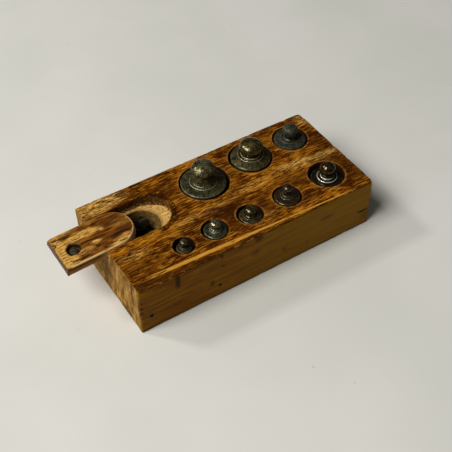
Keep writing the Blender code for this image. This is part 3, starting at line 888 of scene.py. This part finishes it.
SIDE_MARKS = [((x, FRONT, z), (a, 2, c), share) for x, z, a, c, share in (
    (LEFT, 17.2, 1.3, 1.2, 1.0), (LEFT, 14.2, 1.5, 1.0, 1.0), (LEFT, 11.6, 1.2, 1.2, 1.0),
    (-50.2, 7.7, 1.0, 1.0, 1.0), (-19.7, 5.8, 0.9, 0.8, 1.0), (-23, 9, 0.9, 1.5, 0.65),
    (-38.2, 20, 1.1, 4.0, 0.75), (-18.6, 22.8, 0.8, 1.8, 0.7), (-18, 16.5, 0.7, 0.7, 0.6),
    (-1.6, 22, 2.0, 1.2, 0.7), (-3, 15, 2.2, 1.6, 0.4), (32, 15.3, 3.2, 0.8, 0.45),
    (11, 8.7, 1.1, 0.7, 0.5), (22.7, 5.8, 0.7, 0.6, 0.5), (51.2, 8.6, 2.6, 0.7, 1.0),
    (-10, 22.3, 1.0, 0.9, 0.4), (53, 5.5, 2.4, 3.0, 0.35),
)] + [((x, -FRONT, z), (a, 2, c), share) for x, z, a, c, share in (
    (-31, 13, 3.4, 0.6, 0.6), (-12, 20.5, 0.9, 2.6, 0.6), (8, 6.5, 1.0, 0.9, 0.9),
    (21, 15.5, 4.5, 0.7, 0.5), (40, 10, 1.1, 1.8, 0.55), (RIGHT, 16, 1.4, 2.0, 0.9),
    (-47, 4, 3.0, 1.6, 0.45),
)]


def block_look():
    look = Look("varnished_wood_worn")
    x, y, z = look.x, look.y, look.z
    drift, streaks, fibres, pores = grain(look, 0)
    on_top = z.step(TOP - 1.6, TOP - 0.5)
    colour = look.ramp(streaks * 0.6 + drift * 0.4, (0.38, (72, 30, 3)), (0.44, (104, 51, 4)),
                       (0.5, AMBER), (0.56, (156, 90, 11)), (0.65, GOLD))
    red = look.noise((0.05, 0.25, 0.25), (6, 2, 2), 3, 0.6)
    # Short dark and light flecks lie along the grain, thicker in some places than in others.
    crowd = look.noise((0.07, 0.24, 0.24), (3, 1, 1), 3, 0.6) - 0.5
    dash = (look.noise((0.19, 1.6, 1.6), (3, 5, 7), 3, 0.62) + crowd * 0.35).step(0.51, 0.57) * on_top
    tick = (look.noise((0.42, 2.6, 2.6), (13, 3, 7), 2, 0.5) + crowd * 0.2).step(0.54, 0.6) * on_top
    glint = (look.noise((0.23, 1.9, 1.9), (9, 5, 2), 3, 0.62) - crowd * 0.3).step(0.53, 0.59) * on_top
    ragged = look.wandering((0.22, 0.9, 0.9), (4.0, 2.2, 2.2))
    flaky = look.noise((0.34, 2.0, 2.0), (1, 1, 5), 4, 0.66)
    shade = look.blobs(TOP_SHADE, 0.8, ragged) * on_top
    stain = look.blobs(TOP_DARK, 0.55, ragged) * flaky.step(0.36, 0.5)
    # Pale places: worn patches, the edges themselves, and the slanted band along the near edge, which is worn
    # varnish and a painted highlight on the ridge where the planed slant starts.
    patch = look.blobs(TOP_PALE, 0.5, ragged) * flaky.step(0.43, 0.53)
    band_at = y + 21.6 + (x + 48) * 0.042
    band_width = x.step(-10, 15, 0.75, 0.3)
    worn_band_and_highlight = (band_at.abs() / band_width).fade(0.6, 1.3) * x.step(-50, -45) * x.fade(38, 48)
    worn_band_and_highlight = worn_band_and_highlight * on_top * look.noise((0.12, 0.9, 0.9), (4, 4, 4), 3, 0.6).step(0.3, 0.42)
    below_band = (-1.0 * band_at - band_width).step(0.1, 0.7) * on_top
    rub = look.noise((0.45, 0.9, 0.9), (8, 8, 8), 5, 0.7)
    edge = nearest_edge(look)
    near = (0.0 - x).step(RIGHT - 2, RIGHT - 1).max((0.0 - y).step(-FRONT - 2, -FRONT - 1))
    worn_edge = (edge + (rub - 0.5) * 3.6).fade(-0.15, 0.3) * near
    top_edges = z.step(TOP - 1.4, TOP - 0.5)
    colour = look.layers(
        colour,
        (red.step(0.48, 0.62) * 0.35, (112, 46, 5)),
        (dash * 0.92, (54, 21, 2)),
        (tick * 0.75, DARK),
        (fibres.step(0.5, 0.68) * 0.3, UMBER),
        (glint * 0.72, (208, 140, 38)),
        (shade * 0.95, (62, 26, 4)),
        (stain * 0.8, (50, 19, 4)),
        (below_band * x.step(-20, 10, 0.6, 0.25), (62, 30, 6)),
        (patch * (1.0 - tick * 0.8 - dash * 0.5).max(0.0), PALE),
        # The band on the ridge: a painted highlight over worn varnish.
        (worn_band_and_highlight * 0.85, (226, 162, 62)),
        # Painted shade: a dark line along every edge, which the pale wear below covers on the near and left
        # edges.
        (edge.fade(0.3, 0.75) * 0.8, (48, 22, 6)),
        (worn_edge * (0.04 + 0.6 * top_edges), (204, 142, 72)),
    )
    # The top is rubbed pale round each bore, and pitted round the channel's end.
    for weight in WEIGHTS:
        bore_x, bore_y, radius = weight.bore
        rim = (look.around(bore_x, bore_y) - (radius + 0.5)).abs().fade(0.1, 0.5)
        colour = look.mix(rim * on_top * rub.step(0.42, 0.56, 0.05, 0.55), colour, (184, 124, 54))
    pits = (look.around(CHANNEL_ARC_X, CHANNEL_Y) - 10.4).abs().fade(0.8, 2.0) * x.step(-35, -29)
    pits = pits * look.noise((1.15, 1.3, 1.3), (7, 7, 7), 4, 0.75).step(0.47, 0.54)
    # The long sides are browner, with finer and fainter grain, and carry a few marks.
    side_tone = look.noise((0.07, 0.9, 0.9), (20, 3, 3), 5, 0.6)
    marks = look.blobs(SIDE_MARKS, 0.5, look.wandering((0.9, 0.9, 0.9), (1.6, 0, 1.6)))
    side = look.layers(
        look.ramp(side_tone, (0.34, (98, 56, 1)), (0.5, (122, 76, 2)), (0.66, (142, 94, 3))),
        (fibres.step(0.44, 0.7) * 0.3, (86, 50, 2)),
        (x.step(-35, 35) * 0.6, (142, 102, 12)),
        (marks, (26, 9, 3)),
        # Painted shade: darker along the foot of each side, where it meets the floor, and just under its top
        # edge.
        ((z + (rub - 0.5) * 2.0).fade(0.4, 1.5) * 0.6, (44, 26, 6)),
        ((TOP - z + (rub - 0.5) * 3.0).fade(0.4, 1.5) * 0.5, (60, 24, 5)),
    )
    on_side = (-FRONT - y.abs()).fade(0.25, 0.75) * z.fade(TOP - 0.8, TOP - 0.25)
    # End grain is greyer and nearly bare.
    ends = look.noise((0.8, 0.4, 0.12), (2, 9, 4), 6, 0.66)
    growth = look.stretched((0, 1, 1), (0, -6, 46), look.warp((0.1, 0.1, 0.1), (0, 5, 5)))
    rings = look.math("SINE", Value(look, look.vector("LENGTH", growth)) * 3.1)
    soiled = look.noise((2.5, 2.5, 2.5), (3, 3, 1), 4, 0.7).step(0.5, 0.62)
    end = look.layers(
        look.ramp(ends, (0.36, (104, 70, 26)), (0.5, (155, 113, 47)), (0.63, (202, 160, 84))),
        (rings.step(0.2, 1.0) * 0.35, (108, 72, 28)),
        (soiled * 0.5, (84, 58, 30)),
        # The ends' marks, one of them a painted shadow of the lid.
        (look.blobs(END_MARKS_AND_LID_SHADOW, 0.5, look.wandering((0.5, 0.5, 0.5), (0, 1.4, 1.4))), (66, 42, 24)),
    )
    on_end = (RIGHT - x.abs()).fade(0.2, 0.7)
    # The last layer is the bare underside.
    colour = look.layers(
        colour,
        (pits * on_top * 0.85, DARK),
        (on_side * (1.0 - worn_edge * 0.6), side),
        (on_end * (1.0 - worn_edge * 0.6), end),
        (z.fade(0.3, 0.9) * 0.7, (80, 50, 22)),
    )
    roughness = 0.34 + 0.3 * patch + 0.2 * worn_edge + 0.28 * on_end + 0.16 * (flaky - 0.5) + 0.18 * dash
    height = fibres * 0.35 + streaks * 0.5 - dash * 0.5 - tick * 0.4 - patch * 0.6 - pits - marks * 0.6
    look.bump(height - pores.step(0.62, 0.75) * 0.4, 0.14)
    return look.finish(colour, roughness, VARNISH_SPECULAR)


def raw_wood(look, pale, dark, speck, seed):
    """Colour and height of bare wood."""
    _, streaks, fibres, _ = grain(look, seed)
    colour = look.ramp(streaks, (0.35, dark), (0.62, pale))
    colour = look.mix(fibres.step(0.45, 0.7) * 0.3, colour, dark)
    specks = look.noise((1.5, 1.5, 1.5), (seed, 1, 1), 4, 0.75).step(0.54, 0.63)
    colour = look.mix(specks * speck, colour, (60, 36, 14))
    return colour, fibres * 0.6 + streaks * 0.6 - specks * 0.8


def raw_look(name, pale, dark, speck, seed):
    """Bare wood inside the block."""
    look = Look(name)
    colour, height = raw_wood(look, pale, dark, speck, seed)
    look.bump(height, 0.15)
    return look.finish(colour, 0.6 + 0.3 * height, CHANNEL_SPECULAR)


def channel_look():
    """Bare pale wood; the channel's walls and the foot of its far side carry old dirt in specks, and painted
    shade.
    """
    look = Look("channel_wood")
    colour, height = raw_wood(look, (242, 198, 114), (188, 138, 68), 0.55, 70)
    inward = CHANNEL_HALF_FLOOR - look.across(CHANNEL_ARC_X, CHANNEL_Y)
    far = (look.y - CHANNEL_Y).step(2.0, 8.0, 0.0, 1.2)
    rub = look.noise((0.7, 0.9, 0.9), (8, 3, 8), 4, 0.7)
    wall = look.z.step(TOP - CHANNEL_DEPTH + 0.3, TOP - CHANNEL_DEPTH + 0.9)
    # Painted shade and specked dirt on the walls, in a wider band at the foot of the far wall.
    wall_dirt_and_shade = (inward - far + (rub - 0.5) * 2.4).fade(0.4, 1.0).max(wall)
    specks = look.noise((1.3, 1.3, 1.3), (9, 1, 4), 4, 0.75).step(0.45, 0.53)
    from_rim = look.around(POCKET_X, POCKET_Y) + (rub - 0.5) * 1.5
    colour = look.layers(
        colour,
        (from_rim.step(POCKET_RADIUS + 0.5, POCKET_RADIUS + 1.7, 0.55, 0.0), (132, 98, 50)),
        (wall_dirt_and_shade * 0.92, look.mix(specks, (150, 102, 44), (34, 16, 5))),
    )
    look.bump(height - specks * wall_dirt_and_shade * 0.6, 0.15)
    return look.finish(colour, 0.6 + 0.3 * height, CHANNEL_SPECULAR)


LID_PALE = [((x, y, LID_THICKNESS), (a, b, 2), share) for x, y, a, b, share in (
    (-13.5, 0, 3.0, 8.5, 0.95), (-4, 3.6, 8, 2.0, 0.9), (-12, 8, 5, 1.2, 0.6), (-0.5, -2.7, 2.2, 0.9, 1.0),
    (3.8, 2.2, 1.4, 0.8, 1.0), (-13, -6, 4, 2.6, 0.95), (-5.5, -4.5, 3.5, 1.4, 0.6), (12, 1, 4, 2.2, 0.25),
    (10, -7.6, 6, 0.9, 1.0), (9.5, -5.8, 4, 1.1, 0.5),
)]
LID_DARK = [((x, y, LID_THICKNESS), (a, b, 2), share) for x, y, a, b, share in (
    (-9.7, 6.2, 3.0, 0.9, 0.9), (-13.7, 6.7, 1.3, 0.7, 0.9), (-15, 4.2, 0.6, 1.2, 0.8),
    (-0.8, -4.9, 1.1, 0.8, 1.0), (3, 6, 2.2, 0.9, 0.8), (-2.5, -0.6, 5.0, 0.5, 0.8),
    (-5.0, 1.7, 2.5, 0.35, 0.8), (10, -4.0, 5, 0.8, 1.0), (7, -5.1, 2.2, 0.6, 0.8),
    (-7.5, -7.3, 3.2, 0.5, 0.95), (3, -6.5, 2.6, 0.8, 0.7), (8, 4.5, 5, 1.7, 0.6), (11, 2.4, 4, 1.2, 0.5),
    (2, -1.2, 4, 0.7, 0.65), (12, -1.2, 4, 0.8, 0.5), (5, 0.2, 2.4, 0.4, 0.6),
)]


def lid_look():
    look = Look("lid_wood_worn")
    x, y, z = look.x, look.y, look.z
    drift, streaks, fibres, _ = grain(look, 40)
    colour = look.ramp(streaks * 0.6 + drift * 0.4, (0.38, (54, 24, 3)), (0.45, (100, 54, 6)),
                       (0.53, (136, 80, 11)), (0.66, (184, 128, 36)))
    ragged = look.wandering((0.35, 0.9, 0.9), (3.0, 1.4, 1.4))
    flaky = look.noise((0.4, 2.0, 2.0), (6, 1, 5), 4, 0.66)
    patch = look.blobs(LID_PALE, 0.4, ragged) * flaky.step(0.4, 0.48)
    stain = look.blobs(LID_DARK, 0.35, ragged) * flaky.step(0.34, 0.42)
    dash = look.noise((0.22, 1.8, 1.8), (3, 2, 7), 3, 0.62).step(0.55, 0.61)
    # Pale rim of the top, measured from the tongue's outline, strongest along the near side: worn varnish and
    # a painted highlight.
    inset = (LID_HALF_TOP - look.across(LID_ARC_X)).min(x + LID_LENGTH / 2 - LID_SLANT)
    rub = look.noise((0.5, 0.9, 0.9), (8, 8, 8), 4, 0.7)
    rim = (inset + (rub - 0.5) * 1.4).fade(0.15, 0.75) * x.step(-14.5, -13) * y.step(-2, 6, 1.0, 0.25)
    # Side faces are darker towards the top, and their inner part is pale, a painted highlight; the outer end
    # is dark brown.
    side = look.ramp(fibres * 0.5 + z * 0.16, (0.3, (160, 106, 42)), (0.62, (60, 30, 14)))
    side = look.mix(x.step(-3, 5) * 0.85, side, (222, 170, 108))
    end = look.ramp(rub, (0.35, (60, 40, 24)), (0.65, (112, 82, 50)))
    # The recess and a ring round it are darkened with painted shade.
    recess_shade = (look.around(RECESS_X, RECESS_Y) + (rub - 0.5) * 1.2).fade(2.5, 3.6)
    colour = look.layers(
        colour,
        (fibres.step(0.48, 0.64) * 0.45, UMBER),
        (patch * 0.9, (230, 176, 84)),
        (dash * 0.85, (60, 26, 6)),
        (stain * 0.95, (44, 17, 4)),
        (rim * 0.95, (238, 198, 134)),
        (z.fade(LID_THICKNESS - 0.9, LID_THICKNESS - 0.35), side),
        ((x + LID_LENGTH / 2).fade(0.5, 0.95), end),
        (recess_shade * 0.85, (40, 22, 12)),
    )
    look.bump(fibres * 0.35 + streaks * 0.5 - dash * 0.5 - patch * 0.4 - stain * 0.5, 0.14)
    roughness = 0.4 + 0.25 * patch + 0.2 * rim + 0.15 * (flaky - 0.5)
    return look.finish(colour, roughness, LID_SPECULAR)


# Colours of old metal as screen numbers, then what shapes them. Scale is of the patina, disc is the disc's
# share of the knob's brightness, partly painted shade, and relief is in millimetres.
Finish = namedtuple(
    "Finish",
    "dark mid bright tarnish roughness metal scale wear disc relief coat",
    defaults=(0.0,),
)
FINISHES = {
    "weight_50g": Finish(
        (34, 30, 13), (156, 149, 108), (222, 216, 184), (64, 66, 28), 0.2, 0.7, 1.2, 0.8, 0.5, 0.2, 0.25),
    "weight_20g": Finish(
        (36, 29, 9), (134, 122, 82), (232, 222, 186), (68, 68, 26), 0.16, 0.75, 1.2, 0.8, 0.72, 0.1, 0.3),
    "weight_10g_back": Finish(
        (27, 26, 19), (98, 98, 83), (150, 150, 130), (50, 56, 40), 0.34, 0.5, 1.3, 0.3, 0.9, 0.18),
    # Its near-white bright colour, on the collar's edge, is partly a painted highlight.
    "weight_10g_front": Finish(
        (29, 18, 5), (100, 85, 55), (250, 246, 226), (34, 28, 9), 0.1, 0.8, 1.2, 1.0, 0.3, 0.02, 0.5),
    "weight_5g": Finish(
        (32, 21, 6), (106, 89, 60), (190, 176, 134), (52, 50, 20), 0.1, 0.75, 1.4, 0.4, 0.6, 0.04, 0.7),
    "weight_2g_right": Finish(
        (33, 23, 7), (104, 93, 60), (176, 164, 120), (74, 74, 34), 0.12, 0.75, 1.5, 0.3, 0.85, 0.06, 0.5),
    "weight_2g_left": Finish(
        (40, 37, 13), (188, 188, 144), (250, 250, 226), (66, 64, 26), 0.1, 0.85, 1.5, 0.4, 0.34, 0.1, 0.5),
    "weight_1g": Finish(
        (32, 24, 12), (104, 92, 70), (160, 150, 122), (66, 70, 44), 0.16, 0.65, 1.6, 0.25, 0.9, 0.05, 0.2),
    "pin": Finish(
        (30, 27, 15), (104, 98, 72), (120, 114, 86), (54, 56, 38), 0.5, 0.4, 1.6, 0.3, 1.0, 0.1),
    # The leaves' near-black colours are partly tarnish and partly painted shade of the pocket they lie in.
    "leaf": Finish(
        (7, 6, 2), (28, 26, 11), (124, 116, 76), (18, 20, 7), 0.3, 0.5, 1.4, 0.25, 1.0, 0.08),
    "aluminium": Finish(
        (9, 8, 3), (36, 32, 16), (120, 116, 84), (24, 22, 9), 0.36, 0.5, 1.6, 0.25, 1.0, 0.08),
    "slug": Finish(
        (40, 40, 42), (92, 92, 96), (150, 150, 152), (70, 66, 60), 0.6, 0.8, 1.6, 0.2, 1.0, 0.1),
}
METAL_EDGE_TINT = (0.62, 0.52, 0.32, 1.0)


def brass_look(name, offset=0.0, boss=99.0):
    """Old turned brass: patina in patches, pits, turning rings, and bright metal where it is rubbed, partly a
    painted highlight.

    The disc, which is what lies beyond the boss, is darker and duller than the knob: partly tarnish, partly
    painted shade.
    """
    finish = FINISHES[name]
    look = Look(name + "_patina")

    def scaled(size):
        return (size * finish.scale,) * 3

    cloud = look.noise(scaled(0.45), (offset, 2, 4), 4, 0.6)
    fine = look.noise(scaled(1.25), (offset, 6, 1), 4, 0.66)
    pits = look.cells(scaled(1.1), (offset, 1, 1)).fade(0.1, 0.26)
    pits = pits * look.noise(scaled(0.6), (offset, 9, 9), 3, 0.5).step(0.44, 0.56)
    middle = tuple(0.55 * a + 0.45 * b for a, b in zip(finish.dark, finish.mid))
    green = look.noise(scaled(0.7), (offset, 5, 5), 4, 0.66).step(0.5, 0.6)
    radial = look.around(0, 0)
    # Painted shade, with some dirt: the disc beyond the boss, and everything low towards the foot, are
    # darkened.
    disc = radial.step(boss - 0.1, boss + 0.4)
    foot = look.z.step(0.7, 3.2, 0.35, 0.0) * fine.step(0.4, 0.55)
    # Bright rubbed metal; on the boss and collar edges it is partly a painted highlight.
    rub = (look.attribute("wear") * (0.6 + 0.8 * fine)).step(0.25, 0.75) * finish.wear
    colour = look.layers(
        look.ramp(cloud * 0.45 + fine * 0.55, (0.4, finish.dark), (0.49, middle), (0.6, finish.mid)),
        (green * 0.55, finish.tarnish),
        (pits * 0.8, [c * 0.3 for c in finish.dark]),
        (disc * (1 - finish.disc), [c * 0.5 for c in finish.dark]),
        (foot, finish.dark),
        (rub, finish.bright),
    )
    rings = look.math("SINE", radial * 17.0) * look.noise((0.7, 0.7, 0.7), (1, offset, 1), 2).step(0.4, 0.6)
    roughness = finish.roughness + 0.25 * (fine - 0.45) + 0.2 * pits + 0.1 * green + 0.22 * disc
    metal = finish.metal - 0.25 * green - 0.3 * pits - 0.3 * disc - 0.25 * rub
    look.put(look.shader.inputs["Metallic"], metal.max(0.0).min(1.0))
    look.shader.inputs["Specular Tint"].default_value = METAL_EDGE_TINT
    look.bump(fine * 0.6 + cloud * 0.4 - pits * 0.9 + rings * 0.06, finish.relief)
    roughness = roughness.max(BRASS_LEAST_ROUGHNESS)
    return look.finish(colour, roughness, BRASS_SPECULAR, finish.coat, BRASS_COAT_ROUGHNESS)


# ---------------------------------------------------------------- stage


def area_light(name, power, size, direction, distance):
    light = bpy.data.lights.new(name, "AREA")
    light.energy = power
    light.shape = "DISK"
    light.size = size
    light.color = LIGHT_COLOUR
    obj = bpy.data.objects.new(name, light)
    direction = Vector(direction).normalized()
    obj.location = LIGHT_TARGET + direction * distance
    obj.rotation_euler = direction.to_track_quat("Z", "Y").to_euler()
    bpy.context.scene.collection.objects.link(obj)


def build_stage():
    look = Look("pale_floor")
    cloud = look.noise((0.012, 0.012, 0.012), (1, 1, 1), 4, 0.5)
    fine = look.noise((0.9, 0.9, 0.9), (5, 5, 5), 3, 0.6)
    colour = look.mix(cloud.step(0.3, 0.7), (222, 222, 214), (230, 229, 223))
    specks = look.cells((0.07, 0.07, 0.07), (3, 8, 1)).fade(0.012, 0.03)
    colour = look.mix(specks * 0.5, colour, (120, 112, 96))
    look.bump(fine, 0.03)
    material = look.finish(colour, 0.62 + 0.1 * fine)
    points = [(x * FLOOR_HALF, y * FLOOR_HALF, 0) for x, y in ((-1, -1), (1, -1), (1, 1), (-1, 1))]
    floor = make_object("floor", points, [(0, 1, 2, 3)], [material])
    world = bpy.data.worlds.new("studio")
    world.use_nodes = True
    background = world.node_tree.nodes["Background"]
    background.inputs["Color"].default_value = WORLD_COLOUR
    background.inputs["Strength"].default_value = WORLD_STRENGTH
    bpy.context.scene.world = world
    area_light("key", power=16.0, size=0.8, direction=(-0.61, -0.03, 0.79), distance=1.35)
    area_light("back", power=3.5, size=0.19, direction=(-0.51, 0.54, 0.67), distance=1.3)
    bpy.context.scene.view_settings.view_transform = "Standard"


def build_camera():
    """A long lens above and to the left of the block's near side."""
    level = math.cos(CAMERA_ELEVATION)
    back = Vector((math.sin(CAMERA_AZIMUTH) * level, -math.cos(CAMERA_AZIMUTH) * level,
                   math.sin(CAMERA_ELEVATION)))
    right = Vector((0, 0, 1)).cross(back).normalized()
    up = back.cross(right)
    rolled_right = right * math.cos(CAMERA_ROLL) + up * math.sin(CAMERA_ROLL)
    rolled_up = up * math.cos(CAMERA_ROLL) - right * math.sin(CAMERA_ROLL)
    place_at = back * CAMERA_AWAY - rolled_right * CAMERA_LEFT + rolled_up * CAMERA_UP
    place_at *= (RIGHT - LEFT) * MM
    data = bpy.data.cameras.new("camera")
    data.sensor_width = CAMERA_SENSOR
    data.lens = CAMERA_LENS
    data.clip_start, data.clip_end = 0.01, 10
    camera = bpy.data.objects.new("camera", data)
    axes = Matrix((rolled_right, rolled_up, back)).transposed().to_4x4()
    camera.matrix_world = Matrix.Translation(place_at) @ axes
    bpy.context.scene.collection.objects.link(camera)
    bpy.context.scene.camera = camera


def main():
    build_stage()
    build_camera()
    block_looks = [
        block_look(),
        # The bores' walls are near-black: painted shade.
        raw_look("bore_wood", (66, 38, 14), (26, 14, 6), 0.5, 60),
        channel_look(),
        raw_look("pocket_wood", (148, 116, 62), (92, 68, 30), 0.6, 80),
    ]
    build_block(block_looks)
    build_lid(lid_look())
    build_pin(brass_look("pin"))
    for index, weight in enumerate(WEIGHTS):
        pits = DEEP_PITS if weight.name in ("weight_50g", "weight_10g_back") else SHALLOW_PITS
        build_weight(weight, brass_look(weight.name, 3.0 * index, weight.boss_radius), pits)
    leaf_look, aluminium_look = brass_look("leaf"), brass_look("aluminium")
    for milligrams, seed in ((500, 71), (200, 73), (100, 79), (50, 83)):
        build_leaf(milligrams, aluminium_look if milligrams == 50 else leaf_look, seed)
    slug_look = brass_look("slug")
    for name in ("weight_50g", "weight_20g", "weight_10g_front"):
        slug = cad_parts[name + "_adjusting_slug"]
        for slot in slug.material_slots:
            slot.material = slug_look


main()
